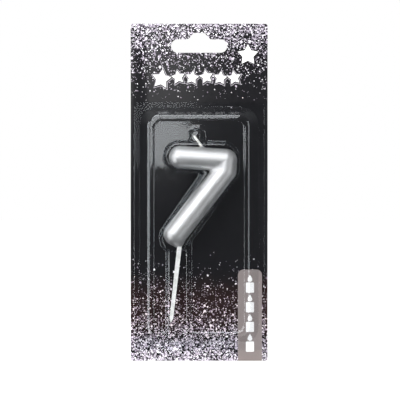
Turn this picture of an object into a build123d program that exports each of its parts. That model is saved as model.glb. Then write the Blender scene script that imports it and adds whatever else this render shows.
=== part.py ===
"""Number seven birthday candle in its carded blister pack.

Millimetres, +Z up, +X to the viewer's right. The pack faces -Y and hangs from the origin:
the top of the hang slot is at Z = 0 and the back of the card lies in the plane Y = 0.
Depths are measured forward from the printed face of the card.
"""

import os
from math import asin, atan2, cos, degrees, hypot, radians, sin, tan

from build123d import *

# ---------------------------------------------------------------- driving dimensions
# Card, with a standard euro hang slot.
CARD_WIDTH = 78.0
CARD_HEIGHT = 192.0
CARD_THICKNESS = 0.5
CARD_CORNER_RADIUS = 1.5
SLOT_TO_CARD_TOP = 5.2
SLOT_WIDTH = 32.0
SLOT_HEIGHT = 7.6
SLOT_PEAK_RISE = 3.7
SLOT_PEAK_BASE = 12.4
SLOT_PEAK_TOP = 6.4
SLOT_PEAK_RADIUS = 2.4

# Clear formed sheet: flat flange, sloping shoulder, raised rim, sunken plateau.
SHEET = 0.35
FLANGE_MARGIN = 1.8
FLANGE_TOP = -39.3
FLANGE_BOTTOM = -180.7
FLANGE_CORNER_RADIUS = 3.0
FLANGE_WIDTH = 2.6
SHOULDER_RUN_SIDE = 6.2
SHOULDER_RUN_END = 5.4
SHOULDER_CORNER_RADIUS = 10.5
RIM_DEPTH = 6.5
RIM_WIDTH_SIDE = 3.3
RIM_WIDTH_END = 2.9
RIM_CORNER_RADIUS = 6.8
RIM_EDGE_RADIUS = 2.0
PLATEAU_DEPTH = 6.0
PLATEAU_CORNER_RADIUS = 4.6
PLATEAU_STEP_ANGLE = 45.0

# Pocket for the numeral; its half width is taken at the level of the plateau.
DOME_CENTRELINE = [(-11.3, -70.3), (13.6, -71.0), (13.6, -77.8), (-13.6, -116.8)]
DOME_HALF_WIDTH = 9.0
DOME_DEPTH = 14.35
DOME_DRAFT = 10.2
DOME_EDGE_RADIUS = 2.2
DOME_CREASE_RADIUS = 3.0

# Smaller pockets, as (left, right, bottom, top) edges at the card and at full depth.
WICK_POCKET_FOOT = (-5.8, 3.8, -74.0, -53.9)
WICK_POCKET_TOP = (-4.0, 2.0, -72.0, -55.8)
WICK_POCKET_DEPTH = 10.4
WICK_POCKET_CORNERS = (4.4, 2.8)
PICK_CHANNEL_FOOT = (-19.9, -1.0, -178.0, -112.0)
PICK_CHANNEL_TOP = (-18.1, -6.2, -174.2, -114.0)
PICK_CHANNEL_DEPTH = 9.5
PICK_CHANNEL_CORNERS = (4.0, 2.6)
POCKET_EDGE_RADIUS = 1.2

# Numeral: a round bar of wax bent into a seven, thicker and nosed at the foot.
TUBE_RADIUS = 6.35
FOOT_RADIUS = 6.7
NUMERAL_CENTRELINE = [(0.0, 0.0), (26.0, 0.0), (26.0, -6.0), (0.5, -43.5)]
CREASE_RADIUS = 2.0
CREASE_INSET = 0.1
NOSE_CENTRE = (2.3, -47.8)
NOSE_RADIUS = 3.4

# The candle lies loose in its pocket, turned a little clockwise seen from the front.
NUMERAL_START = (-10.8, -70.9)
NUMERAL_DEPTH = 7.0
NUMERAL_LEAN = 4.0

# Pick: flat stick with a groove in each face, pushed a little askew into the nose.
PICK_X = 3.2
PICK_LEAN = 6.4
PICK_WIDTH = 2.6
PICK_TIP_WIDTH = 2.1
PICK_THICKNESS = 2.0
PICK_LENGTH = 49.8
PICK_INSERTION = 7.0
PICK_POINT_LENGTH = 2.6
PICK_EDGE_RADIUS = 0.25
PICK_GROOVE_WIDTH = 1.1
PICK_GROOVE_DEPTH = 0.5
PICK_GROOVE_MARGIN = 2.5
PICK_CLEARANCE = 0.05

# Wick: one cord cast into the wax, its free end leaning back over the bar.
WICK_RADIUS = 0.72
WICK_PATH = [
    (13.5, -23.0),
    (19.0, -13.0),
    (20.5, -5.0),
    (16.6, 1.4),
    (12.1, 6.4),
    (9.5, 9.6),
    (7.2, 12.3),
]

# ---------------------------------------------------------------- derived values
CARD_CENTRE_Z = SLOT_TO_CARD_TOP - CARD_HEIGHT / 2
SLOT_CENTRE_Z = -SLOT_PEAK_RISE - SLOT_HEIGHT / 2

FLANGE_HALF_WIDTH = CARD_WIDTH / 2 - FLANGE_MARGIN
SHOULDER_HALF_WIDTH = FLANGE_HALF_WIDTH - FLANGE_WIDTH
SHOULDER_BOTTOM = FLANGE_BOTTOM + FLANGE_WIDTH
SHOULDER_TOP = FLANGE_TOP - FLANGE_WIDTH
SHOULDER_FOOT = (-SHOULDER_HALF_WIDTH, SHOULDER_HALF_WIDTH, SHOULDER_BOTTOM, SHOULDER_TOP)
RIM_EDGE = (
    -SHOULDER_HALF_WIDTH + SHOULDER_RUN_SIDE,
    SHOULDER_HALF_WIDTH - SHOULDER_RUN_SIDE,
    SHOULDER_BOTTOM + SHOULDER_RUN_END,
    SHOULDER_TOP - SHOULDER_RUN_END,
)
PLATEAU_WIDTH = RIM_EDGE[1] - RIM_EDGE[0] - 2 * RIM_WIDTH_SIDE
PLATEAU_HEIGHT = RIM_EDGE[3] - RIM_EDGE[2] - 2 * RIM_WIDTH_END
PLATEAU_CENTRE = ((RIM_EDGE[0] + RIM_EDGE[1]) / 2, (RIM_EDGE[2] + RIM_EDGE[3]) / 2)

# The pick is drawn from the mouth of its socket, upward into the wax.
PICK_MOUTH = (PICK_X, NOSE_CENTRE[1] - NOSE_RADIUS)
PICK_TIP = PICK_INSERTION - PICK_LENGTH


# ---------------------------------------------------------------- working planes
def leaning_plane(origin, lean):
    """A drawing plane facing the viewer, turned clockwise by the lean in degrees."""
    turn = radians(lean)
    return Plane(origin=origin, x_dir=(cos(turn), 0, -sin(turn)), z_dir=(0, -1, 0))


CARD_FACE = Plane.XZ.offset(CARD_THICKNESS)
NUMERAL_PLANE = leaning_plane(
    (NUMERAL_START[0], -CARD_THICKNESS - NUMERAL_DEPTH, NUMERAL_START[1]), NUMERAL_LEAN
)


def numeral_point(across, up):
    """A point of the numeral's own drawing, in pack coordinates."""
    return NUMERAL_PLANE.from_local_coords(Vector(across, up, 0))


PICK_PLANE = leaning_plane(numeral_point(*PICK_MOUTH), PICK_LEAN)


def section_plane(point, toward):
    """The plane through one point of the numeral's drawing, square to the way to another."""
    origin = numeral_point(*point)
    return Plane(origin=origin, z_dir=numeral_point(*toward) - origin)


# ---------------------------------------------------------------- shapes of the blister
def drafted_block(foot, top, depth, corner_radii, edge_radius, inset):
    """A block on the face of the card, its four walls sloping from foot to top.

    The inset moves every surface inward, so it turns the outside of a formed shape
    into its inside.
    """
    inset_foot = []
    inset_top = []
    for foot_edge, top_edge in zip(foot, top):
        run = top_edge - foot_edge
        shift = inset * hypot(run, depth) / depth
        if run < 0:
            shift = -shift
        inset_foot.append(foot_edge + shift)
        inset_top.append(foot_edge + shift + run * (depth - inset) / depth)

    with BuildPart() as block:
        levels = zip((inset_foot, inset_top), (0, depth - inset), corner_radii)
        for (left, right, lower, upper), level, corner_radius in levels:
            with BuildSketch(CARD_FACE.offset(level)):
                with Locations(((left + right) / 2, (lower + upper) / 2)):
                    RectangleRounded(right - left, upper - lower, corner_radius - inset)
        loft()
        front = block.faces().sort_by(Axis.Y).first
        fillet(front.edges(), edge_radius - inset)
    return block.part


def shoulder(inset):
    """Sloping shoulder and raised rim around the sunken plateau."""
    step_angle = radians(PLATEAU_STEP_ANGLE)
    growth = 2 * inset * (1 / cos(step_angle) - tan(step_angle))
    rim = drafted_block(
        SHOULDER_FOOT,
        RIM_EDGE,
        RIM_DEPTH,
        (SHOULDER_CORNER_RADIUS, RIM_CORNER_RADIUS),
        RIM_EDGE_RADIUS,
        inset,
    )
    with BuildPart() as form:
        add(rim)
        with BuildSketch(CARD_FACE.offset(PLATEAU_DEPTH - inset)):
            with Locations(PLATEAU_CENTRE):
                RectangleRounded(
                    PLATEAU_WIDTH + growth, PLATEAU_HEIGHT + growth, PLATEAU_CORNER_RADIUS
                )
        extrude(amount=RIM_DEPTH, taper=-PLATEAU_STEP_ANGLE, mode=Mode.SUBTRACT)
    return form.part


def numeral_dome(inset):
    """The seven shaped pocket, its plan a band of even width along DOME_CENTRELINE."""
    draft = radians(DOME_DRAFT)
    foot_half_width = DOME_HALF_WIDTH + PLATEAU_DEPTH * tan(draft) - inset / cos(draft)
    corner, elbow = DOME_CENTRELINE[1:3]
    inner_corner = (elbow[0] - 2 * foot_half_width, corner[1] - foot_half_width)
    with BuildPart() as dome:
        with BuildSketch(CARD_FACE) as plan:
            for start, end in zip(DOME_CENTRELINE[:-1], DOME_CENTRELINE[1:]):
                run = (end[0] - start[0], end[1] - start[1])
                middle = ((start[0] + end[0]) / 2, (start[1] + end[1]) / 2)
                with Locations(Location(middle, degrees(atan2(run[1], run[0])))):
                    SlotCenterToCenter(hypot(*run), 2 * foot_half_width)
            crease = plan.vertices().sort_by_distance(inner_corner).first
            fillet(crease, DOME_CREASE_RADIUS + inset)
        extrude(amount=DOME_DEPTH - inset, taper=DOME_DRAFT)
        front = dome.faces().sort_by(Axis.Y).first
        fillet(front.edges(), DOME_EDGE_RADIUS - inset)
    return dome.part


def wick_pocket(inset):
    """The small pocket above the bar that keeps the sheet off the wick."""
    return drafted_block(
        WICK_POCKET_FOOT,
        WICK_POCKET_TOP,
        WICK_POCKET_DEPTH,
        WICK_POCKET_CORNERS,
        POCKET_EDGE_RADIUS,
        inset,
    )


def pick_channel(inset):
    """The long channel below the numeral for the pick."""
    return drafted_block(
        PICK_CHANNEL_FOOT,
        PICK_CHANNEL_TOP,
        PICK_CHANNEL_DEPTH,
        PICK_CHANNEL_CORNERS,
        POCKET_EDGE_RADIUS,
        inset,
    )


os.makedirs("parts", exist_ok=True)

# ---------------------------------------------------------------- backing card
with BuildPart() as backing_card:
    with BuildSketch(Plane.XZ):
        with Locations((0, CARD_CENTRE_Z)):
            RectangleRounded(CARD_WIDTH, CARD_HEIGHT, CARD_CORNER_RADIUS)
    extrude(amount=CARD_THICKNESS)

    # Euro slot: a round ended slot with a blunt peak that finds the middle of the peg.
    with BuildSketch(Plane.XZ) as slot:
        with Locations((0, SLOT_CENTRE_Z)):
            SlotOverall(SLOT_WIDTH, SLOT_HEIGHT)
        with BuildLine():
            Polyline(
                (-SLOT_PEAK_BASE / 2, -SLOT_PEAK_RISE),
                (-SLOT_PEAK_TOP / 2, 0),
                (SLOT_PEAK_TOP / 2, 0),
                (SLOT_PEAK_BASE / 2, -SLOT_PEAK_RISE),
                (SLOT_PEAK_BASE / 2, SLOT_CENTRE_Z),
                (-SLOT_PEAK_BASE / 2, SLOT_CENTRE_Z),
                close=True,
            )
        make_face()
        peak_corners = slot.vertices().filter_by_position(
            Axis.Y, -SLOT_PEAK_RISE, 0
        ).filter_by_position(Axis.X, -SLOT_PEAK_BASE / 2, SLOT_PEAK_BASE / 2)
        fillet(peak_corners, SLOT_PEAK_RADIUS)
    extrude(amount=CARD_THICKNESS, mode=Mode.SUBTRACT)

# ---------------------------------------------------------------- blister
blister_outside = shoulder(0) + numeral_dome(0) + wick_pocket(0) + pick_channel(0)
blister_inside = shoulder(SHEET) + numeral_dome(SHEET) + wick_pocket(SHEET) + pick_channel(SHEET)

with BuildPart() as blister:
    with BuildSketch(CARD_FACE):
        with Locations((0, (FLANGE_TOP + FLANGE_BOTTOM) / 2)):
            RectangleRounded(
                2 * FLANGE_HALF_WIDTH, FLANGE_TOP - FLANGE_BOTTOM, FLANGE_CORNER_RADIUS
            )
    extrude(amount=SHEET)
    add(blister_outside)
    add(blister_inside, mode=Mode.SUBTRACT)

# ---------------------------------------------------------------- wick
with BuildPart() as wick:
    with BuildLine(NUMERAL_PLANE) as wick_line:
        Spline(*WICK_PATH)
    cord = wick_line.wire()
    with BuildSketch(Plane(origin=cord @ 0, z_dir=cord % 0)):
        Circle(WICK_RADIUS)
    sweep(path=cord)

# ---------------------------------------------------------------- pick
with BuildPart() as pick:
    with BuildSketch(PICK_PLANE):
        with BuildLine():
            Polyline(
                (-PICK_WIDTH / 2, PICK_INSERTION),
                (PICK_WIDTH / 2, PICK_INSERTION),
                (PICK_WIDTH / 2, 0),
                (PICK_TIP_WIDTH / 2, PICK_TIP + PICK_POINT_LENGTH),
                (0, PICK_TIP),
                (-PICK_TIP_WIDTH / 2, PICK_TIP + PICK_POINT_LENGTH),
                (-PICK_WIDTH / 2, 0),
                close=True,
            )
        make_face()
    extrude(amount=PICK_THICKNESS / 2, both=True)
    fillet(pick.faces().group_by(Axis.Y)[0].edges(), PICK_EDGE_RADIUS)
    fillet(pick.faces().group_by(Axis.Y)[-1].edges(), PICK_EDGE_RADIUS)

    # A moulded groove in the front and in the back, clear of the wax and of the point.
    groove_top = -PICK_GROOVE_MARGIN
    groove_bottom = PICK_TIP + PICK_POINT_LENGTH + PICK_GROOVE_MARGIN
    for side in (1, -1):
        with BuildSketch(PICK_PLANE.offset(side * PICK_THICKNESS / 2)):
            with Locations((0, (groove_top + groove_bottom) / 2)):
                SlotOverall(groove_top - groove_bottom, PICK_GROOVE_WIDTH, rotation=90)
        extrude(amount=-side * PICK_GROOVE_DEPTH, mode=Mode.SUBTRACT)

# ---------------------------------------------------------------- numeral
bar_start, corner, elbow, foot = NUMERAL_CENTRELINE
diagonal_slope = (elbow[0] - foot[0]) / (elbow[1] - foot[1])
sharp_corner = (elbow[0] + diagonal_slope * (corner[1] - elbow[1]), corner[1])
nose_run = (NOSE_CENTRE[0] - foot[0], NOSE_CENTRE[1] - foot[1])
nose_distance = hypot(*nose_run)
nose_angle = asin((FOOT_RADIUS - NOSE_RADIUS) / nose_distance)

with BuildPart() as numeral:
    # Three straight strokes with ball ends.
    strokes = (
        (bar_start, corner, TUBE_RADIUS, TUBE_RADIUS),
        (corner, elbow, TUBE_RADIUS, TUBE_RADIUS),
        (elbow, foot, TUBE_RADIUS, FOOT_RADIUS),
    )
    for start, end, start_radius, end_radius in strokes:
        with BuildSketch(section_plane(start, end)):
            Circle(start_radius)
        with BuildSketch(-section_plane(end, start)):
            Circle(end_radius)
        loft()
    with Locations(numeral_point(*bar_start), numeral_point(*corner), numeral_point(*elbow)):
        Sphere(TUBE_RADIUS)
    with Locations(numeral_point(*foot)):
        Sphere(FOOT_RADIUS)

    # A bend with a real inner radius softens the crease between bar and diagonal.
    with BuildLine(NUMERAL_PLANE) as bend_line:
        FilletPolyline(bar_start, sharp_corner, foot, radius=TUBE_RADIUS + CREASE_RADIUS)
    bend = bend_line.edges().filter_by(GeomType.CIRCLE).first
    with BuildSketch(Plane(origin=bend @ 0, z_dir=bend % 0)):
        Circle(TUBE_RADIUS - CREASE_INSET)
    sweep(path=bend)

    # The foot runs out in a blunt nose around the pick.
    nose_plane = Plane(
        origin=numeral_point(*foot),
        x_dir=numeral_point(*NOSE_CENTRE) - numeral_point(*foot),
        z_dir=(0, -1, 0),
    )
    with BuildSketch(nose_plane):
        with BuildLine():
            flank_start = Vector(
                FOOT_RADIUS * sin(nose_angle), FOOT_RADIUS * cos(nose_angle)
            )
            flank_end = Vector(
                nose_distance + NOSE_RADIUS * sin(nose_angle), NOSE_RADIUS * cos(nose_angle)
            )
            Line((0, 0), flank_start)
            Line(flank_start, flank_end)
            tip = TangentArc(
                flank_end, (nose_distance + NOSE_RADIUS, 0), tangent=flank_end - flank_start
            )
            Line(tip @ 1, (0, 0))
        make_face()
    revolve(axis=Axis(nose_plane.origin, nose_plane.x_dir))

    # Socket for the pick, and the hole that the cast-in wick fills.
    with BuildSketch(PICK_PLANE):
        with Locations((0, PICK_INSERTION + PICK_CLEARANCE)):
            Rectangle(
                PICK_WIDTH + 2 * PICK_CLEARANCE,
                PICK_INSERTION + 4 * NOSE_RADIUS,
                align=(Align.CENTER, Align.MAX),
            )
    extrude(amount=PICK_THICKNESS / 2 + PICK_CLEARANCE, both=True, mode=Mode.SUBTRACT)
    add(wick.part, mode=Mode.SUBTRACT)

# ---------------------------------------------------------------- export
backing_card.part.label = "backing_card"
blister.part.label = "blister"
numeral.part.label = "numeral"
wick.part.label = "wick"
pick.part.label = "pick"

export_step(backing_card.part, "parts/backing_card.step")
export_step(blister.part, "parts/blister.step")
export_step(numeral.part, "parts/numeral.step")
export_step(wick.part, "parts/wick.step")
export_step(pick.part, "parts/pick.step")
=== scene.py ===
from itertools import product
from math import cos, hypot, pi, radians, sin, tan

import bpy
import numpy as np
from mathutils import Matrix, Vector


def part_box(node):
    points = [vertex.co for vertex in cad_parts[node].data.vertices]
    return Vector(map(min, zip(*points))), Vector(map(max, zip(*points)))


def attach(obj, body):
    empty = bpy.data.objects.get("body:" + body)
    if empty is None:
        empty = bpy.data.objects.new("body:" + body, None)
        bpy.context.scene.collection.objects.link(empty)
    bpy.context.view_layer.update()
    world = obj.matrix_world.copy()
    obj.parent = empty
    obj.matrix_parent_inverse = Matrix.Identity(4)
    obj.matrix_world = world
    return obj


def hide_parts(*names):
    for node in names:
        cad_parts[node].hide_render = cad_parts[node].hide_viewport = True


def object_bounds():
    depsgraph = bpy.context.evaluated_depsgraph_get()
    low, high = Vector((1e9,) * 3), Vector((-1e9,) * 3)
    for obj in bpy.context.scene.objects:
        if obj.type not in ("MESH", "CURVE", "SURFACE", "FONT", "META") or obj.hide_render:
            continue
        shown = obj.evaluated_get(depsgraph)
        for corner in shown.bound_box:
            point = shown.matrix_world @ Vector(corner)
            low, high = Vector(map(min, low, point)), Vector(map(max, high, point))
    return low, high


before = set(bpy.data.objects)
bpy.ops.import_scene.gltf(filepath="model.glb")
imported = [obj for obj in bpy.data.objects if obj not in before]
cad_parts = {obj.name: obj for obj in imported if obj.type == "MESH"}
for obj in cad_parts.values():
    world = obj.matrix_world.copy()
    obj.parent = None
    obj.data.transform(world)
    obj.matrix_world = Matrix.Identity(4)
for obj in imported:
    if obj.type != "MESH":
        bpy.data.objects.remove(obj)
cad_low, cad_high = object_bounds()

# Dimensions are in millimetres in the CAD frame; meshes are scaled to metres as they are made.
MM = 0.001

# ---------------------------------------------------------------- dimensions
card_low, card_high = (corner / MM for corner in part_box("backing_card"))
sheet_low, sheet_high = (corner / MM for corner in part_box("blister"))
CARD_FACE_Y = card_low.y
CARD_LEFT = card_low.x
CARD_RIGHT = card_high.x
CARD_TOP = card_high.z
CARD_BOTTOM = card_low.z

# Clear blister: flange, sloping shoulder, raised rim and the plateau sunk inside it. The sheet's
# outside is kept from TRIM_HEIGHT above the card, and its inside stays SEAL_GAP off the card.
SHEET = 0.33
SEAL_GAP = 0.02
TRIM_HEIGHT = 0.2
FLANGE = (sheet_low.x, sheet_high.x, sheet_low.z, sheet_high.z)
FLANGE_CORNER = 3.0
FLANGE_WIDTH = 2.6
FLANGE_FILLET = 0.3
SHOULDER_RUN_SIDE = 6.2
SHOULDER_RUN_END = 5.4
SHOULDER_CORNERS = (10.5, 6.8)
RIM_DEPTH = 6.5
RIM_WIDTH_SIDE = 3.3
RIM_WIDTH_END = 2.9
RIM_EDGE_RADIUS = 1.5
PLATEAU_DEPTH = 6.0
PLATEAU_CORNER = 4.6
PLATEAU_STEP_ANGLE = radians(45)
PLATEAU_EDGE_RADIUS = 0.5

# Dome over the numeral; its front sinks a little below the bar and comes back at the foot.
DOME_CENTRELINE = [(-11.3, -70.3), (13.6, -71.0), (13.6, -77.8), (-13.6, -116.8)]
DOME_HALF_WIDTH = 9.0
DOME_DEPTH = CARD_FACE_Y - sheet_low.y
DOME_DRAFT = radians(10.2)
DOME_EDGE_RADIUS = 1.1
DOME_CREASE_RADIUS = 2.6
DOME_FILLET = 0.3
DOME_SAG = 0.3
DOME_SAG_HEIGHTS = (-62.0, -77.0, -85.0, -115.0)

# A pocket's (left, right, bottom, top) edges at its foot and at its top, its depth, its corner
# radii at foot and top, and the radius of its front edge.
WICK_POCKET = ((-6.8, 4.2, -74.0, -53.2), (-4.9, 1.8, -72.0, -55.8), 10.2, (4.6, 2.7), 2.6)
WICK_POCKET_FILLET = 2.0
PICK_CHANNEL = ((-19.9, -1.0, -178.0, -112.0), (-18.1, -6.2, -174.2, -114.0), 9.5, (4.0, 2.6), 2.2)
PICK_CHANNEL_FILLET = 0.6

# Heights off the card up to which the sheet is sealed down, and above which it stands free, and
# the most that it reflects.
SEALED_HEIGHT = 0.5
FREE_HEIGHT = 1.1
MOST_REFLECTION = 0.16

# The formed parts are never quite flat; the flange is, because it is sealed down.
SHEET_UNEVENNESS = 0.02
SHEET_WAVE = 19.0
UNEVEN_DEPTHS = (2.0, 6.0)

# Wax numeral, drawn upright in its own plane and then leaned.
NUMERAL_START = (-10.8, -70.9)
NUMERAL_AXIS_Y = CARD_FACE_Y - 7.0
NUMERAL_LEAN = radians(4.0)
NUMERAL_CENTRELINE = [(0.0, 0.0), (26.0, 0.0), (26.0, -6.0), (0.5, -43.5)]
NOSE_CENTRE = (2.3, -47.8)
TUBE_RADIUS = 6.35
FOOT_RADIUS = 6.7
NOSE_RADIUS = 3.4
CREASE_RADIUS = 2.0
WAX_UNEVENNESS = 0.035
WAX_WAVE = 4.5

# Socket for the pick, its mouth at the tip of the nose.
SOCKET_MOUTH = (3.2, NOSE_CENTRE[1] - NOSE_RADIUS)
SOCKET_LEAN = radians(6.4)
SOCKET_HALF_WIDTH = 1.45
SOCKET_HALF_DEPTH = 1.15
SOCKET_LENGTH = 7.2
SOCKET_EDGE_RADIUS = 0.3

# Wick, in the numeral's drawing; it leaves the wax at WICK_PATH[WICK_EXIT].
WICK_RADIUS = 0.72
WICK_PATH = [
    (13.5, -23.0),
    (19.0, -13.0),
    (20.5, -5.0),
    (16.6, 1.4),
    (12.1, 6.4),
    (9.5, 9.6),
    (7.2, 12.3),
]
WICK_EXIT = 4
WICK_SAMPLES = 40
WICK_LAY = 3.2
PLY_COUNT = 3
PLY_RADIUS = 0.36
PLY_SIDES = 12
FIBRE_COUNT = 26
FIBRE_RADII = (0.05, 0.02)
FIBRE_SIDES = 5

# Wax that wets the wick and climbs it a little.
CLIMB_SHARE = 0.2
CLIMB_RADII = (0.95, 0.7)
CLIMB_FILLET = 1.0

# Spacing of the grids that the meshes are made on, and the rounds that settle their points.
BLISTER_GRID = 0.57
NUMERAL_GRID = 0.35
SETTLE_ROUNDS = 5

# Ink shapes: height of the back of every shape, and of the front of each layer, off the card.
INK_BACK = 0.001
GLOW_LEVEL = 0.006
SHADOW_LEVEL = 0.009
TOP_LEVEL = 0.012

# The row of stars, as (x, size): one large star and five smaller ones, on a line that sinks a
# little towards both ends. Even and odd stars have their own hop and their own tilt in degrees.
STAR_ROW = [(-21.4, 5.6)] + [(-11.9 + 8.0 * number, 3.9) for number in range(5)]
STAR_ROW_Z = -25.5
STAR_ROW_MIDDLE = 1.0
STAR_ROW_BOW = 0.0016
STAR_HOPS = (0.0, 0.5)
STAR_TILTS = (-8, 10)
CORNER_STAR = (27.8, -12.6)

TAB = (CARD_RIGHT - 16.9, CARD_RIGHT - 3.2, CARD_BOTTOM, CARD_BOTTOM + 52.0)
TAB_CANDLE_COUNT = 4
TAB_CANDLE_FIRST = 5.2
TAB_CANDLE_PITCH = 11.2
TAB_CANDLE_SIZE = (4.6, 5.8)
TAB_FLAME_RISE = 8.2
TAB_FLAME_HEIGHT = 4.0

# Heights on the card where the glitter starts to thicken, how far clouds shift them up and down
# in all, and the heights between which the print warms to brown and turns lilac again.
UPPER_GLITTER_START = -45.0
LOWER_GLITTER_START = -122.0
GLITTER_DRIFT = 16.0
WARM_RISE = (-180.0, -162.0)
WARM_FALL = (-152.0, -134.0)


# ---------------------------------------------------------------- distance functions
def round_union(a, b, radius):
    """Two solids joined with a fillet of the given radius."""
    corner = np.hypot(np.maximum(radius - a, 0), np.maximum(radius - b, 0))
    return np.maximum(radius, np.minimum(a, b)) - corner


def round_intersection(a, b, radius):
    """What two solids share, its edge rounded to the given radius."""
    corner = np.hypot(np.maximum(radius + a, 0), np.maximum(radius + b, 0))
    return np.minimum(-radius, np.maximum(a, b)) + corner


def rounded_rectangle(x, z, edges, radius):
    """Distance from a rectangle given by its (left, right, bottom, top) edges."""
    left, right, bottom, top = edges
    out_x = np.abs(x - (left + right) / 2) - (right - left) / 2 + radius
    out_z = np.abs(z - (bottom + top) / 2) - (top - bottom) / 2 + radius
    outside = np.hypot(np.maximum(out_x, 0), np.maximum(out_z, 0))
    return outside + np.minimum(np.maximum(out_x, out_z), 0) - radius


def segment_distance(x, z, start, end):
    """Distance from a straight line between two points of a plan."""
    run_x, run_z = end[0] - start[0], end[1] - start[1]
    along = ((x - start[0]) * run_x + (z - start[1]) * run_z) / (run_x**2 + run_z**2)
    along = np.clip(along, 0, 1)
    return np.hypot(x - start[0] - along * run_x, z - start[1] - along * run_z)


def round_cone(x, y, z, start, end, start_radius, end_radius):
    """Distance from the hull of two balls whose centres lie in the plane y = 0."""
    run_x, run_z = end[0] - start[0], end[1] - start[1]
    length = hypot(run_x, run_z)
    along = ((x - start[0]) * run_x + (z - start[1]) * run_z) / length
    across = ((x - start[0]) * run_z - (z - start[1]) * run_x) / length
    out = np.hypot(across, y)
    sine = (start_radius - end_radius) / length
    cosine = np.sqrt(1 - sine * sine)
    region = along * cosine - out * sine
    flank = out * cosine + along * sine - start_radius
    start_ball = np.hypot(out, along) - start_radius
    end_ball = np.hypot(out, along - length) - end_radius
    return np.where(region < 0, start_ball, np.where(region > cosine * length, end_ball, flank))


def drafted_block(x, depth, z, foot, top, height, corners, edge_radius):
    """Distance from a block on the card whose walls slope from its foot to its top."""
    share = depth / height
    edges = [low + (high - low) * share for low, high in zip(foot, top)]
    corner = corners[0] + (corners[1] - corners[0]) * share
    run = abs(top[0] - foot[0])
    wall = rounded_rectangle(x, z, edges, corner) * height / hypot(run, height)
    return round_intersection(wall, depth - height, edge_radius)


def ripple(x, z, length):
    """Slow unevenness between about -1 and 1; its factors only keep the waves out of step."""
    waves = (
        np.sin(x / length + 1.3 * np.sin(z / (1.7 * length)))
        + np.sin(z / (1.2 * length) + 1.1 * np.sin(x / (1.4 * length) + 0.8))
        + np.sin((x + 0.7 * z) / (0.8 * length) + 2.1)
    )
    return waves / 3


def inset(edges, side, end):
    """The edges of a rectangle drawn in at its sides and at its ends."""
    left, right, bottom, top = edges
    return left + side, right - side, bottom + end, top - end


def rim_and_plateau(x, depth, z):
    """Distance from the block that the shoulder and rim enclose, with the plateau sunk into it."""
    foot = inset(FLANGE, FLANGE_WIDTH, FLANGE_WIDTH)
    rim = inset(foot, SHOULDER_RUN_SIDE, SHOULDER_RUN_END)
    plateau = inset(rim, RIM_WIDTH_SIDE, RIM_WIDTH_END)
    block = drafted_block(x, depth, z, foot, rim, RIM_DEPTH, SHOULDER_CORNERS, RIM_EDGE_RADIUS)
    step_wall = rounded_rectangle(x, z, plateau, PLATEAU_CORNER) - depth + PLATEAU_DEPTH
    recess = np.maximum(step_wall * cos(PLATEAU_STEP_ANGLE), PLATEAU_DEPTH - depth)
    return round_intersection(block, -recess, PLATEAU_EDGE_RADIUS)


def dome(x, depth, z):
    """Distance from the dome, a drafted block around its centreline."""
    strokes = [
        segment_distance(x, z, start, end)
        for start, end in zip(DOME_CENTRELINE[:-1], DOME_CENTRELINE[1:])
    ]
    half_width = DOME_HALF_WIDTH + (PLATEAU_DEPTH - depth) * tan(DOME_DRAFT)
    outline = round_union(strokes[0] - half_width, strokes[2] - half_width, DOME_CREASE_RADIUS)
    outline = np.minimum(outline, strokes[1] - half_width)
    sag = np.interp(-z, [-height for height in DOME_SAG_HEIGHTS], (0, DOME_SAG, DOME_SAG, 0))
    front = depth - DOME_DEPTH + sag
    return round_intersection(outline * cos(DOME_DRAFT), front, DOME_EDGE_RADIUS)


def formed_sheet(x, y, z):
    """Distance from the outside of the formed blister."""
    depth = CARD_FACE_Y - y
    form = round_union(rim_and_plateau(x, depth, z), dome(x, depth, z), DOME_FILLET)
    form = round_union(form, drafted_block(x, depth, z, *PICK_CHANNEL), PICK_CHANNEL_FILLET)
    form = round_union(form, drafted_block(x, depth, z, *WICK_POCKET), WICK_POCKET_FILLET)
    flat, wavy = UNEVEN_DEPTHS
    uneven = SHEET_UNEVENNESS * ripple(x, z, SHEET_WAVE) * np.clip((depth - flat) / (wavy - flat), 0, 1)
    flange = np.maximum(rounded_rectangle(x, z, FLANGE, FLANGE_CORNER), depth - SHEET)
    return round_union(form + uneven, flange, FLANGE_FILLET)


def to_numeral(x, z):
    """Pack coordinates turned into those of the numeral's own drawing."""
    x = x - NUMERAL_START[0]
    z = z - NUMERAL_START[1]
    across = x * cos(NUMERAL_LEAN) - z * sin(NUMERAL_LEAN)
    up = x * sin(NUMERAL_LEAN) + z * cos(NUMERAL_LEAN)
    return across, up


def from_numeral(across, up):
    """A point of the numeral's drawing in pack coordinates."""
    x = NUMERAL_START[0] + across * cos(NUMERAL_LEAN) + up * sin(NUMERAL_LEAN)
    z = NUMERAL_START[1] - across * sin(NUMERAL_LEAN) + up * cos(NUMERAL_LEAN)
    return x, z


def pick_socket(x, toward, z):
    """Distance from the flat hole that holds the pick."""
    mouth_x, mouth_z = from_numeral(*SOCKET_MOUTH)
    beside = (x - mouth_x) * cos(SOCKET_LEAN) - (z - mouth_z) * sin(SOCKET_LEAN)
    along = (x - mouth_x) * sin(SOCKET_LEAN) + (z - mouth_z) * cos(SOCKET_LEAN)
    walls = np.maximum(np.abs(beside) - SOCKET_HALF_WIDTH, np.abs(toward) - SOCKET_HALF_DEPTH)
    return np.maximum(walls, along - SOCKET_LENGTH)


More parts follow.
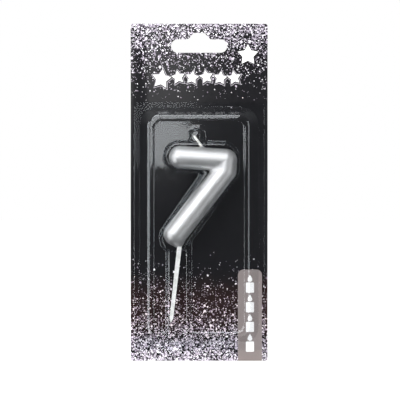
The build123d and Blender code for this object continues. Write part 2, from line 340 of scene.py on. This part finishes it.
def cast_wax(x, y, z):
    """Distance from the surface of the cast numeral."""
    across, up = to_numeral(x, z)
    toward = y - NUMERAL_AXIS_Y
    start, corner, elbow, foot = NUMERAL_CENTRELINE

    def stroke(first, last, first_radius, last_radius):
        return round_cone(across, toward, up, first, last, first_radius, last_radius)

    bar = stroke(start, corner, TUBE_RADIUS, TUBE_RADIUS)
    knuckle = stroke(corner, elbow, TUBE_RADIUS, TUBE_RADIUS)
    diagonal = stroke(elbow, foot, TUBE_RADIUS, FOOT_RADIUS)
    nose = stroke(foot, NOSE_CENTRE, FOOT_RADIUS, NOSE_RADIUS)
    wax = np.minimum(round_union(bar, diagonal, CREASE_RADIUS), np.minimum(knuckle, nose))

    leaves, above = WICK_PATH[WICK_EXIT], WICK_PATH[WICK_EXIT + 1]
    climb = [here * (1 - CLIMB_SHARE) + there * CLIMB_SHARE for here, there in zip(leaves, above)]
    wax = round_union(wax, stroke(leaves, climb, *CLIMB_RADII), CLIMB_FILLET)
    wax = wax + WAX_UNEVENNESS * ripple(across, up + 0.6 * toward, WAX_WAVE)
    return round_intersection(wax, -pick_socket(x, toward, z), SOCKET_EDGE_RADIUS)


# ---------------------------------------------------------------- meshes from distance functions
def slopes(distance, points, reach=0.02):
    """Gradient of a distance function at each point."""
    columns = []
    for axis in range(3):
        offset = np.zeros(3)
        offset[axis] = reach
        ahead = distance(*(points + offset).T)
        behind = distance(*(points - offset).T)
        columns.append((ahead - behind) / (2 * reach))
    return np.stack(columns, axis=1)


def onto_surface(distance, centres, reach):
    """Points moved from cell centres onto the surface, each axis by no more than reach."""
    points = centres.copy()
    for _ in range(SETTLE_ROUNDS):
        slope = slopes(distance, points)
        # The least slope of 0.05 keeps a point from being thrown far where the function is flat.
        miss = distance(*points.T) / np.maximum((slope**2).sum(axis=1), 0.05)
        points = np.clip(points - miss[:, None] * slope, centres - reach, centres + reach)
    return points


def surface_net(distance, low, high, step):
    """Points and quads of the surface where a distance function is zero."""
    counts = [int((end - start) / step) + 2 for start, end in zip(low, high)]
    axes = [start + step * np.arange(count) for start, count in zip(low, counts)]
    inside = distance(*np.meshgrid(*axes, indexing="ij")) < 0

    # One point in each cell that the surface crosses.
    cells = [count - 1 for count in counts]
    corners = np.zeros(cells, int)
    for i, j, k in product((0, 1), repeat=3):
        corners += inside[i : i + cells[0], j : j + cells[1], k : k + cells[2]]
    crossed_cells = (corners > 0) & (corners < 8)
    index = np.full(cells, -1)
    index[crossed_cells] = np.arange(crossed_cells.sum())
    centres = np.array(low) + step * (np.argwhere(crossed_cells) + 0.5)
    points = onto_surface(distance, centres, 0.7 * step)

    # One quad around each grid edge that the surface crosses.
    quads = []
    for axis in range(3):
        first = np.take(inside, range(counts[axis] - 1), axis)
        last = np.take(inside, range(1, counts[axis]), axis)
        crossed = first != last
        side_a, side_b = [other for other in range(3) if other != axis]
        for side in (side_a, side_b):
            border = [slice(None)] * 3
            border[side] = [0, counts[side] - 1]
            crossed[tuple(border)] = False
        edges = np.argwhere(crossed)
        ring = []
        for step_a, step_b in ((0, 0), (1, 0), (1, 1), (0, 1)):
            cell = edges.copy()
            cell[:, side_a] -= step_a
            cell[:, side_b] -= step_b
            ring.append(index[tuple(cell.T)])
        ring = np.stack(ring, axis=1)
        outward = first[tuple(edges.T)] != (axis == 1)
        quads.append(np.where(outward[:, None], ring, ring[:, ::-1]))
    return points, np.concatenate(quads)


def mesh_object(name, points, faces, normals=None):
    """A smooth shaded object from points in millimetres."""
    mesh = bpy.data.meshes.new(name)
    mesh.from_pydata((np.asarray(points) * MM).tolist(), [], [list(face) for face in faces])
    mesh.polygons.foreach_set("use_smooth", [True] * len(mesh.polygons))
    if normals is not None:
        mesh.normals_split_custom_set_from_vertices(normals.tolist())
    made = bpy.data.objects.new(name, mesh)
    bpy.context.scene.collection.objects.link(made)
    return made


def unit(vectors):
    """Vectors scaled to a length of one."""
    return vectors / np.linalg.norm(vectors, axis=1, keepdims=True)


# ---------------------------------------------------------------- blister and numeral
def make_blister():
    """The clear sheet: the formed surface, its inner face, and a strip round the edge."""
    room = np.array([0.9, 0.8, 0.9])
    low = np.array([FLANGE[0], sheet_low.y, FLANGE[2]]) - room
    high = np.array([FLANGE[1], CARD_FACE_Y, FLANGE[3]]) + room
    points, quads = surface_net(formed_sheet, low, high, BLISTER_GRID)
    off_card = CARD_FACE_Y - points[:, 1] > TRIM_HEIGHT
    quads = quads[off_card[quads].all(axis=1)]
    used, quads = np.unique(quads, return_inverse=True)
    points = points[used]
    quads = quads.reshape(-1, 4)

    normals = unit(slopes(formed_sheet, points))
    inner = points - SHEET * normals
    inner[:, 1] = np.minimum(inner[:, 1], CARD_FACE_Y - SEAL_GAP)
    count = len(points)
    sides = np.stack([quads, np.roll(quads, -1, axis=1)], axis=2).reshape(-1, 2)
    keys = np.sort(sides, axis=1) @ np.array([count, 1])
    _, place, uses = np.unique(keys, return_inverse=True, return_counts=True)
    border = sides[uses[place] == 1]
    strip = np.column_stack([border[:, 1], border[:, 0], border[:, 0] + count, border[:, 1] + count])
    faces = np.concatenate([quads, quads[:, ::-1] + count, strip])
    points = np.concatenate([points, inner])
    return mesh_object("clear_blister", points, faces, np.concatenate([normals, -normals]))


def make_numeral():
    """The wax seven with a soft crease and the faint unevenness of a casting."""
    corner_x, _ = from_numeral(*NUMERAL_CENTRELINE[1])
    foot_x, foot_z = from_numeral(*NUMERAL_CENTRELINE[3])
    room = np.array([8.5, 7.6, 9.5])
    low = np.array([foot_x, NUMERAL_AXIS_Y, foot_z]) - room
    high = np.array([corner_x, NUMERAL_AXIS_Y, NUMERAL_START[1]]) + room
    points, quads = surface_net(cast_wax, low, high, NUMERAL_GRID)
    return mesh_object("wax_numeral", points, quads, unit(slopes(cast_wax, points)))


# ---------------------------------------------------------------- wick
def smooth_path(anchors, samples):
    """A curve through the anchors, with the same number of points between each pair."""
    ends = [2 * anchors[0] - anchors[1], *anchors, 2 * anchors[-1] - anchors[-2]]
    path = []
    for before, start, end, after in zip(ends, ends[1:], ends[2:], ends[3:]):
        for t in np.linspace(0, 1, samples, endpoint=False):
            path.append(
                0.5
                * (
                    2 * start
                    + (end - before) * t
                    + (2 * before - 5 * start + 4 * end - after) * t**2
                    + (3 * start - before - 3 * end + after) * t**3
                )
            )
    path.append(anchors[-1])
    return np.array(path)


def path_frames(path):
    """Unit tangents of a path, and two directions square to each of them."""
    tangents = unit(np.gradient(path, axis=0))
    across = unit(np.cross(tangents, np.array([0.0, 1.0, 0.0])))
    return tangents, across, np.cross(tangents, across)


def tube(path, radii, sides):
    """Points and faces of a closed tube along a path."""
    _, across, other = path_frames(path)
    angles = np.linspace(0, 2 * pi, sides, endpoint=False)
    turn_across = np.cos(angles)[None, :, None]
    turn_other = np.sin(angles)[None, :, None]
    ring = across[:, None] * turn_across + other[:, None] * turn_other
    points = (path[:, None] + ring * np.asarray(radii)[:, None, None]).reshape(-1, 3)
    faces = []
    for row in range(len(path) - 1):
        for side in range(sides):
            here = row * sides + side
            beside = row * sides + (side + 1) % sides
            faces.append((here, beside, beside + sides, here + sides))
    last = (len(path) - 1) * sides
    faces.append(tuple(range(sides))[::-1])
    faces.append(tuple(range(last, last + sides)))
    return points, faces


def join_tubes(name, tubes):
    """One object from many tubes."""
    points = []
    faces = []
    start = 0
    for tube_points, tube_faces in tubes:
        points.append(tube_points)
        faces.extend([tuple(corner + start for corner in face) for face in tube_faces])
        start += len(tube_points)
    return mesh_object(name, np.concatenate(points), faces)


def loose_fibres(tip, direction):
    """Tubes for the frayed fibres at the cut end of the wick."""
    rng = np.random.default_rng(7)
    tubes = []
    for _ in range(FIBRE_COUNT):
        spread = rng.normal(0, 0.3, 3)
        start = tip - direction * 0.5 + 0.35 * rng.uniform(-1, 1, 3)
        end = tip + direction * rng.uniform(0.0, 0.55) + spread
        middle = (start + end) / 2 + rng.normal(0, 0.08, 3)
        fibre = smooth_path([start, middle, end], 5)
        tubes.append(tube(fibre, np.linspace(*FIBRE_RADII, len(fibre)), FIBRE_SIDES))
    return tubes


def make_wick():
    """Three twisted plies with loose fibres at the cut end."""
    anchors = []
    for across, up in WICK_PATH:
        x, z = from_numeral(across, up)
        anchors.append(np.array([x, NUMERAL_AXIS_Y, z]))
    path = smooth_path(anchors, WICK_SAMPLES)
    tangents, across, other = path_frames(path)
    lengths = np.concatenate([[0], np.cumsum(np.linalg.norm(np.diff(path, axis=0), axis=1))])
    tubes = []
    for ply in range(PLY_COUNT):
        turn = 2 * pi * (lengths / WICK_LAY + ply / PLY_COUNT)
        outward = across * np.cos(turn)[:, None] + other * np.sin(turn)[:, None]
        centre = path + (WICK_RADIUS - PLY_RADIUS) * outward
        tubes.append(tube(centre, np.full(len(path), PLY_RADIUS), PLY_SIDES))
    tubes += loose_fibres(path[-1], tangents[-1])
    return join_tubes("wick_cord", tubes)


# ---------------------------------------------------------------- printed shapes
def star_outline(centre, outer, inner_share, turn=0.0):
    """Corners of a plain five pointed star."""
    corners = []
    for step in range(10):
        radius = outer if step % 2 == 0 else outer * inner_share
        angle = pi / 2 + turn + step * pi / 5
        corners.append((centre[0] + radius * cos(angle), centre[1] + radius * sin(angle)))
    return corners


def rounded_outline(edges, radius, bottom_radius=None):
    """Corners of a rounded rectangle, its lower corners rounded differently if asked."""
    left, right, bottom, top = edges
    low_radius = radius if bottom_radius is None else bottom_radius
    corners = []
    for x, z, turn, size in (
        (right, top, 0.0, radius),
        (left, top, 0.5 * pi, radius),
        (left, bottom, pi, low_radius),
        (right, bottom, 1.5 * pi, low_radius),
    ):
        centre_x = x - size if x == right else x + size
        centre_z = z - size if z == top else z + size
        for angle in np.linspace(turn, turn + 0.5 * pi, 8):
            corners.append((centre_x + size * cos(angle), centre_z + size * sin(angle)))
    return corners


def flame_outline(centre, height):
    """Corners of a teardrop flame."""
    corners = []
    for angle in np.linspace(0, 2 * pi, 28, endpoint=False):
        width = 0.45 * height * sin(angle) * sin(angle / 2) ** 1.3
        corners.append((centre[0] + width, centre[1] + 0.5 * height * cos(angle)))
    return corners


def star_row(growth=0.0, inner_share=0.52, shift=(0.0, 0.0)):
    """Outlines of the row of stars; the layers under it are grown and shifted a little."""
    outlines = []
    for number, (x, size) in enumerate(STAR_ROW):
        z = STAR_ROW_Z - STAR_ROW_BOW * (x - STAR_ROW_MIDDLE) ** 2 + STAR_HOPS[number % 2]
        centre = (x + shift[0], z + shift[1])
        tilt = radians(STAR_TILTS[number % 2])
        outlines.append(star_outline(centre, size + growth, inner_share, tilt))
    return outlines


def tab_candles():
    """Outlines of the small candles on the side tab, a stick and a flame for each."""
    middle = (TAB[0] + TAB[1]) / 2
    width, height = TAB_CANDLE_SIZE
    outlines = []
    for number in range(TAB_CANDLE_COUNT):
        base = CARD_BOTTOM + TAB_CANDLE_FIRST + TAB_CANDLE_PITCH * number
        stick = (middle - width / 2, middle + width / 2, base, base + height)
        outlines.append(rounded_outline(stick, 0.5))
        outlines.append(flame_outline((middle, base + TAB_FLAME_RISE), TAB_FLAME_HEIGHT))
    return outlines


def printed(name, outlines, level):
    """Ink shapes on the face of the card, about a hundredth of a millimetre thick."""
    points = []
    faces = []
    for outline in outlines:
        count = len(outline)
        front = len(points)
        back = front + count
        points += [(x, CARD_FACE_Y - level, z) for x, z in outline]
        points += [(x, CARD_FACE_Y - INK_BACK, z) for x, z in outline]
        faces.append(tuple(range(front, back)))
        faces.append(tuple(range(back, back + count))[::-1])
        for corner in range(count):
            following = (corner + 1) % count
            faces.append((front + following, front + corner, back + corner, back + following))
    made = mesh_object(name, points, faces)
    made.data.polygons.foreach_set("use_smooth", [False] * len(made.data.polygons))
    return made


# ---------------------------------------------------------------- shader nodes
def add(tree, kind, inputs=None, **settings):
    """A shader node with its settings and inputs; an input may be another node's output."""
    made = tree.nodes.new(kind)
    for key, value in settings.items():
        setattr(made, key, value)
    for key, value in (inputs or {}).items():
        if isinstance(value, bpy.types.NodeSocket):
            tree.links.new(value, made.inputs[key])
        else:
            made.inputs[key].default_value = value
    return made


def calculate(tree, operation, first, second=0.0, third=0.0):
    """The output of one math node."""
    return add(tree, "ShaderNodeMath", {0: first, 1: second, 2: third}, operation=operation).outputs[0]


def graded(tree, value, low, high, start=0.0, end=1.0):
    """A value taken smoothly from one range to another."""
    inputs = {"Value": value, "From Min": low, "From Max": high, "To Min": start, "To Max": end}
    return add(tree, "ShaderNodeMapRange", inputs, interpolation_type="SMOOTHSTEP").outputs["Result"]


def mixed_colour(tree, share, first, second):
    """A blend of two colours."""
    made = add(tree, "ShaderNodeMix", {0: share}, data_type="RGBA")
    for key, value in ((6, first), (7, second)):
        if isinstance(value, bpy.types.NodeSocket):
            tree.links.new(value, made.inputs[key])
        else:
            made.inputs[key].default_value = (*value, 1.0)
    return made.outputs[2]


def mixed_shader(tree, share, first, second):
    """A blend of two shaders."""
    return add(tree, "ShaderNodeMixShader", {0: share, 1: first, 2: second}).outputs[0]


def parts_of(tree, vector):
    """The X, Y and Z outputs of a vector."""
    return add(tree, "ShaderNodeSeparateXYZ", {0: vector}).outputs


def noise(tree, coordinates, size_mm, detail, roughness=0.55):
    """Cloud noise whose features are about size_mm across."""
    inputs = {
        "Vector": coordinates.outputs["Object"],
        "Scale": 1.0 / (size_mm * MM),
        "Detail": detail,
        "Roughness": roughness,
    }
    return add(tree, "ShaderNodeTexNoise", inputs).outputs["Fac"]


def bump(tree, height, distance_mm, strength, normal=None):
    """The normal of a surface raised by a height, on top of another normal if there is one."""
    inputs = {"Height": height, "Distance": distance_mm * MM, "Strength": strength}
    if normal is not None:
        inputs["Normal"] = normal
    return add(tree, "ShaderNodeBump", inputs).outputs["Normal"]


def start_material(name):
    """A new material, its empty tree and the object's own coordinates."""
    material = bpy.data.materials.new(name)
    material.use_nodes = True
    tree = material.node_tree
    tree.nodes.clear()
    return material, tree, add(tree, "ShaderNodeTexCoord")


def show(tree, shader):
    """Join a shader to the material's output."""
    add(tree, "ShaderNodeOutputMaterial", {"Surface": shader})


def show_principled(tree, inputs):
    """Join a principled surface with these inputs to the material's output."""
    show(tree, add(tree, "ShaderNodeBsdfPrincipled", inputs).outputs[0])


# ---------------------------------------------------------------- materials
def clear_sheet_material():
    """Clear formed sheet: see-through, with mirror-like glints and faint scuffs."""
    material, tree, coordinates = start_material("clear_formed_sheet")
    fine = bump(tree, noise(tree, coordinates, 1.5, 1.0), 0.0015, 0.08)
    fresnel = add(tree, "ShaderNodeFresnel", {"IOR": 1.57, "Normal": fine}).outputs[0]

    # The flange is sealed down with no air behind it, so it shines no more than the card.
    place = parts_of(tree, coordinates.outputs["Object"])
    free_y = (CARD_FACE_Y - FREE_HEIGHT) * MM
    sealed_y = (CARD_FACE_Y - SEALED_HEIGHT) * MM
    free = graded(tree, place["Y"], free_y, sealed_y, 0.8, 0.1)
    reflect = calculate(tree, "MULTIPLY", fresnel, free)
    reflect = calculate(tree, "MINIMUM", reflect, MOST_REFLECTION)

    # Light that glances off the sheet still reaches the card, so the shadow rays pass freely.
    shadow = add(tree, "ShaderNodeLightPath").outputs["Is Shadow Ray"]
    reflect = calculate(tree, "MULTIPLY", reflect, calculate(tree, "SUBTRACT", 1.0, shadow))
    haze = graded(tree, noise(tree, coordinates, 5.0, 5.0), 0.45, 0.75, 0.035, 0.075)
    shine = {"Color": (0.93, 0.97, 1.0, 1), "Roughness": haze, "Normal": fine}
    glossy = add(tree, "ShaderNodeBsdfGlossy", shine).outputs[0]
    through = add(tree, "ShaderNodeBsdfTransparent", {"Color": (0.975, 0.98, 0.985, 1)}).outputs[0]
    show(tree, mixed_shader(tree, reflect, through, glossy))
    return material


def silver_wax_material():
    """Satin metallic lacquer over wax, with a fine line where the mould's halves met."""
    material, tree, coordinates = start_material("silver_lacquered_wax")
    cloud = noise(tree, coordinates, 6.0, 4.0)
    grain = noise(tree, coordinates, 0.12, 2.0)
    colour = mixed_colour(tree, graded(tree, cloud, 0.3, 0.7), (0.84, 0.84, 0.84), (0.90, 0.90, 0.90))
    place = parts_of(tree, coordinates.outputs["Object"])
    off_middle = calculate(tree, "SUBTRACT", place["Y"], NUMERAL_AXIS_Y * MM)
    seam = graded(tree, calculate(tree, "ABSOLUTE", off_middle), 0.0, 0.22 * MM, 1.0, 0.0)
    normal = bump(tree, grain, 0.012, 0.5, bump(tree, cloud, 0.12, 0.3))
    show_principled(
        tree,
        {
            "Base Color": colour,
            "Metallic": 0.94,
            "Roughness": graded(tree, cloud, 0.3, 0.7, 0.44, 0.50),
            "Normal": bump(tree, seam, 0.08, 0.8, normal),
        },
    )
    return material


def cotton_material():
    """Waxed cotton cord."""
    material, tree, coordinates = start_material("waxed_cotton")
    fibre = noise(tree, coordinates, 0.15, 4.0, 0.7)
    colour = mixed_colour(tree, graded(tree, fibre, 0.35, 0.65), (0.62, 0.60, 0.56), (0.90, 0.89, 0.86))
    show_principled(
        tree,
        {
            "Base Color": colour,
            "Roughness": 0.62,
            "Subsurface Weight": 0.3,
            "Subsurface Radius": (0.0006, 0.0005, 0.0004),
            "Subsurface Scale": 1.0,
            "Normal": bump(tree, fibre, 0.06, 0.8),
        },
    )
    return material


def pick_material():
    """Milky moulded plastic."""
    material, tree, coordinates = start_material("milky_plastic")
    cloud = noise(tree, coordinates, 3.0, 3.0)
    colour = mixed_colour(tree, graded(tree, cloud, 0.3, 0.7), (0.66, 0.66, 0.64), (0.80, 0.80, 0.79))
    show_principled(
        tree,
        {
            "Base Color": colour,
            "Roughness": graded(tree, cloud, 0.3, 0.7, 0.22, 0.34),
            "Subsurface Weight": 0.4,
            "Subsurface Radius": (0.001, 0.001, 0.001),
            "Subsurface Scale": 1.0,
            "Normal": bump(tree, noise(tree, coordinates, 0.5, 3.0), 0.02, 0.5),
        },
    )
    return material


# Printed glitter: layers of flecks as (cell, gain in chance, least size, most size), and the tones
# that a random value between 0 and 1 picks from.
FLECK_LAYERS = ((0.8, 0.9, 0.33, 0.74), (1.6, 0.45, 0.34, 0.52), (0.55, 0.8, 0.30, 0.72))
FLECK_TONES = (
    (0.0, (0.10, 0.085, 0.11)),
    (0.14, (0.28, 0.24, 0.30)),
    (0.32, (0.46, 0.41, 0.49)),
    (0.52, (0.64, 0.59, 0.68)),
    (0.72, (0.92, 0.90, 0.95)),
)


def flecks(tree, plane, cell_mm, chance, size):
    """(mask, random value) of round flecks, at most one in each cell."""
    inputs = {"Vector": plane, "Scale": 1.0 / (cell_mm * MM), "Randomness": 1.0}
    cells = add(tree, "ShaderNodeTexVoronoi", inputs, voronoi_dimensions="2D")
    random = add(tree, "ShaderNodeSeparateColor", {0: cells.outputs["Color"]})
    present = calculate(tree, "LESS_THAN", random.outputs[0], chance)
    spread = calculate(tree, "MULTIPLY", size, calculate(tree, "ADD", random.outputs[1], 0.35))
    inside = calculate(tree, "LESS_THAN", cells.outputs["Distance"], spread)
    return calculate(tree, "MULTIPLY", present, inside), random.outputs[2]


def fleck_tone(tree, random):
    """The printed tone that a random value picks."""
    ramp = add(tree, "ShaderNodeValToRGB", {0: random})
    ramp.color_ramp.interpolation = "CONSTANT"
    stops = ramp.color_ramp.elements
    stops.remove(stops[1])
    stops[0].color = (*FLECK_TONES[0][1], 1)
    for position, tone in FLECK_TONES[1:]:
        stops.new(position).color = (*tone, 1)
    return ramp.outputs[0]


def thickening(tree, height, start, end, power, most):
    """Glitter density that grows from nothing at one height to its most at another."""
    inputs = {"Value": height, "From Min": start * MM, "From Max": end * MM}
    share = add(tree, "ShaderNodeMapRange", inputs).outputs["Result"]
    return calculate(tree, "MULTIPLY", calculate(tree, "POWER", share, power), most)


def glitter_print(tree, coordinates, place, plane):
    """Colour of the print: glitter at both ends of the card, brown and lilac over black."""
    cloud = noise(tree, coordinates, 12.0, 3.0)
    drift = calculate(tree, "MULTIPLY", calculate(tree, "SUBTRACT", cloud, 0.5), GLITTER_DRIFT * MM)
    height = calculate(tree, "ADD", place["Z"], drift)
    upper = thickening(tree, height, UPPER_GLITTER_START, CARD_TOP, 1.85, 0.60)
    lower = thickening(tree, height, LOWER_GLITTER_START, CARD_BOTTOM, 1.9, 0.70)
    density = calculate(tree, "MAXIMUM", upper, lower)

    rise = graded(tree, height, *(edge * MM for edge in WARM_RISE))
    fall = graded(tree, height, *(edge * MM for edge in WARM_FALL), 1.0, 0.0)
    warm = calculate(tree, "MULTIPLY", rise, fall)
    tint = mixed_colour(tree, warm, (1.0, 1.0, 1.0), (1.0, 0.90, 0.89))
    colour = mixed_colour(tree, warm, (0.0105, 0.0105, 0.012), (0.021, 0.012, 0.0115))
    for cell_mm, chance_gain, size_low, size_high in FLECK_LAYERS:
        chance = calculate(tree, "MULTIPLY", density, chance_gain)
        size = calculate(tree, "MULTIPLY_ADD", density, size_high - size_low, size_low)
        mask, random = flecks(tree, plane, cell_mm, chance, size)
        tinted = {0: fleck_tone(tree, random), 1: tint}
        fleck = add(tree, "ShaderNodeVectorMath", tinted, operation="MULTIPLY").outputs[0]
        colour = mixed_colour(tree, mask, colour, fleck)
    return colour


def recycled_board(tree, coordinates, plane, fibre):
    """Colour of plain board: pale fibres, cloudy patches and a few dark specks."""
    patches = noise(tree, coordinates, 9.0, 4.0, 0.65)
    board = mixed_colour(tree, graded(tree, fibre, 0.35, 0.65), (0.36, 0.34, 0.31), (0.62, 0.60, 0.56))
    board = mixed_colour(tree, graded(tree, patches, 0.35, 0.7, 0.0, 0.35), board, (0.74, 0.72, 0.68))
    speck, _ = flecks(tree, plane, 2.6, 0.5, 0.14)
    return mixed_colour(tree, speck, board, (0.16, 0.14, 0.12))


def card_material():
    """Varnished glitter print in front, plain board behind and on the edges."""
    material, tree, coordinates = start_material("printed_board")
    place = parts_of(tree, coordinates.outputs["Object"])
    plane = add(tree, "ShaderNodeCombineXYZ", {0: place["X"], 1: place["Z"]}).outputs[0]
    facing = parts_of(tree, coordinates.outputs["Normal"])
    is_front = calculate(tree, "LESS_THAN", facing["Y"], -0.5)
    fibre = noise(tree, coordinates, 0.35, 5.0, 0.7)
    board = recycled_board(tree, coordinates, plane, fibre)
    print_colour = glitter_print(tree, coordinates, place, plane)

    board_roughness = 0.85
    varnish = graded(tree, noise(tree, coordinates, 2.5, 3.0), 0.35, 0.65, 0.10, 0.16)
    gloss = calculate(tree, "SUBTRACT", varnish, board_roughness)
    relief = calculate(tree, "MULTIPLY", fibre, calculate(tree, "SUBTRACT", 1.15, is_front))
    # A bump tilts the board's normals along its left edge, as if it were pulled forward a little.
    pulled = graded(tree, place["X"], (CARD_LEFT - 1.0) * MM, (CARD_LEFT + 11.0) * MM, 1.0, 0.0)
    show_principled(
        tree,
        {
            "Base Color": mixed_colour(tree, is_front, board, print_colour),
            "Roughness": calculate(tree, "MULTIPLY_ADD", is_front, gloss, board_roughness),
            "Specular IOR Level": 0.2,
            "Normal": bump(tree, pulled, 0.5, 1.0, bump(tree, relief, 0.01, 0.3)),
        },
    )
    return material


def ink_material(name, dark, light):
    """Flat printing ink with the slight mottle of a coated board."""
    material, tree, coordinates = start_material(name)
    mottle = graded(tree, noise(tree, coordinates, 0.25, 3.0), 0.3, 0.7)
    show_principled(
        tree,
        {
            "Base Color": mixed_colour(tree, mottle, dark, light),
            "Roughness": 0.34,
            "Normal": bump(tree, mottle, 0.004, 0.4),
        },
    )
    return material


def dress(piece, material):
    """Give a piece one material."""
    piece.data.materials.clear()
    piece.data.materials.append(material)


# ---------------------------------------------------------------- build the object
def stand_in(piece, node, body, material):
    """Show a piece in place of a CAD node."""
    dress(piece, material)
    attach(piece, body)
    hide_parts(node)


stand_in(make_blister(), "blister", "blister", clear_sheet_material())
stand_in(make_numeral(), "numeral", "candle", silver_wax_material())
stand_in(make_wick(), "wick", "candle", cotton_material())
dress(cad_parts["pick"], pick_material())
dress(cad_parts["backing_card"], card_material())

# Printed shapes: a row of stars where a title would be, a star in the corner, and a side tab.
white_ink = ink_material("white_ink", (0.80, 0.80, 0.80), (0.90, 0.90, 0.90))
black_ink = ink_material("black_ink", (0.008, 0.008, 0.009), (0.014, 0.014, 0.015))
lilac_ink = ink_material("lilac_ink", (0.42, 0.39, 0.44), (0.55, 0.52, 0.57))
taupe_ink = ink_material("taupe_ink", (0.20, 0.168, 0.162), (0.26, 0.222, 0.215))
under_row = (0.2, -0.3)
for piece, ink in (
    (printed("star_row_glow", star_row(1.2, 0.55, under_row), GLOW_LEVEL), lilac_ink),
    (printed("star_row_shadow", star_row(0.8, 0.54, under_row), SHADOW_LEVEL), black_ink),
    (printed("star_row", star_row(), TOP_LEVEL), white_ink),
    (printed("corner_star_edge", [star_outline(CORNER_STAR, 6.9, 0.55)], SHADOW_LEVEL), black_ink),
    (printed("corner_star", [star_outline(CORNER_STAR, 6.1, 0.53)], TOP_LEVEL), white_ink),
    (printed("side_tab", [rounded_outline(TAB, 3.2, 0.3)], SHADOW_LEVEL), taupe_ink),
    (printed("tab_candles", tab_candles(), TOP_LEVEL), white_ink),
):
    dress(piece, ink)
    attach(piece, "card")

# ---------------------------------------------------------------- stage, light and camera, in metres
FLOOR_REACH = 6.0
FLOOR_GAP = 0.0005
PICTURE_CENTRE = Vector((0.0005, 0, -0.0952))
PICTURE_WIDTH = 0.228
CAMERA_DISTANCE = 0.9
SENSOR_WIDTH = 36.0


def floor_material():
    """Pale matt floor with a glow of its own, and clear when seen from below."""
    material, tree, coordinates = start_material("pale_floor")
    cloud = noise(tree, coordinates, 40.0, 2.0)
    tone = mixed_colour(tree, cloud, (0.86, 0.86, 0.86), (0.88, 0.88, 0.88))
    pale = add(tree, "ShaderNodeBsdfDiffuse", {"Color": tone}).outputs[0]
    glow = add(tree, "ShaderNodeEmission", {"Color": (1, 1, 1, 1), "Strength": 0.7}).outputs[0]
    lit = add(tree, "ShaderNodeAddShader", {0: pale, 1: glow}).outputs[0]
    from_below = add(tree, "ShaderNodeNewGeometry").outputs["Backfacing"]
    clear = add(tree, "ShaderNodeBsdfTransparent").outputs[0]
    show(tree, mixed_shader(tree, from_below, lit, clear))
    return material


def make_floor():
    """A wide floor just under the object, left out of reflections."""
    corners = [
        (x * FLOOR_REACH, y * FLOOR_REACH, cad_low.z - FLOOR_GAP)
        for x, y in ((-1, -1), (1, -1), (1, 1), (-1, 1))
    ]
    mesh = bpy.data.meshes.new("floor")
    mesh.from_pydata(corners, [], [(0, 1, 2, 3)])
    floor = bpy.data.objects.new("floor", mesh)
    bpy.context.scene.collection.objects.link(floor)
    dress(floor, floor_material())
    floor.visible_glossy = False


def background(tree, strength):
    """White surroundings of one strength."""
    inputs = {"Color": (1, 1, 1, 1), "Strength": strength}
    return add(tree, "ShaderNodeBackground", inputs).outputs[0]


def make_room():
    """Soft light from all round, dim in reflections and white behind the object."""
    world = bpy.data.worlds.new("studio")
    bpy.context.scene.world = world
    world.use_nodes = True
    tree = world.node_tree
    tree.nodes.clear()
    direction = add(tree, "ShaderNodeTexCoord").outputs["Generated"]
    height = parts_of(tree, direction)["Z"]
    rays = add(tree, "ShaderNodeLightPath").outputs
    room = background(tree, graded(tree, height, -0.6, 0.9, 0.25, 0.5))
    mirrored = background(tree, graded(tree, height, 0.0, 1.0, 0.02, 0.12))
    unseen = mixed_shader(tree, rays["Is Glossy Ray"], room, mirrored)
    chosen = mixed_shader(tree, rays["Is Camera Ray"], unseen, background(tree, 1.0))
    add(tree, "ShaderNodeOutputWorld", {"Surface": chosen})


def softbox(name, offset, size, radiance):
    """A soft rectangular light of (width, height) aimed at the object."""
    light = bpy.data.lights.new(name, "AREA")
    light.shape = "RECTANGLE"
    light.size, light.size_y = size
    light.energy = radiance * pi * size[0] * size[1]
    made = bpy.data.objects.new(name, light)
    made.location = PICTURE_CENTRE + Vector(offset)
    made.rotation_euler = (PICTURE_CENTRE - made.location).to_track_quat("-Z", "Y").to_euler()
    made.visible_camera = False
    bpy.context.scene.collection.objects.link(made)


def make_camera():
    """A long lens straight in front of the object."""
    camera = bpy.data.cameras.new("camera")
    camera.sensor_width = SENSOR_WIDTH
    camera.lens = SENSOR_WIDTH * CAMERA_DISTANCE / PICTURE_WIDTH
    viewpoint = bpy.data.objects.new("camera", camera)
    viewpoint.location = PICTURE_CENTRE + Vector((0, -CAMERA_DISTANCE, 0))
    viewpoint.rotation_euler = (pi / 2, 0, 0)
    bpy.context.scene.collection.objects.link(viewpoint)
    bpy.context.scene.camera = viewpoint


make_floor()
make_room()
softbox("key_softbox", offset=(-0.237, -0.65, 0.50), size=(0.69, 1.134), radiance=3.0)
softbox("left_wall", offset=(-0.78, -0.45, -0.10), size=(0.50, 1.2), radiance=2.3)
softbox("right_strip", offset=(0.66, -0.60, -0.05), size=(0.24, 1.1), radiance=1.8)
softbox("low_fill", offset=(0.25, -0.55, -0.60), size=(0.6, 0.25), radiance=0.4)
make_camera()
bpy.context.scene.view_settings.view_transform = "Standard"
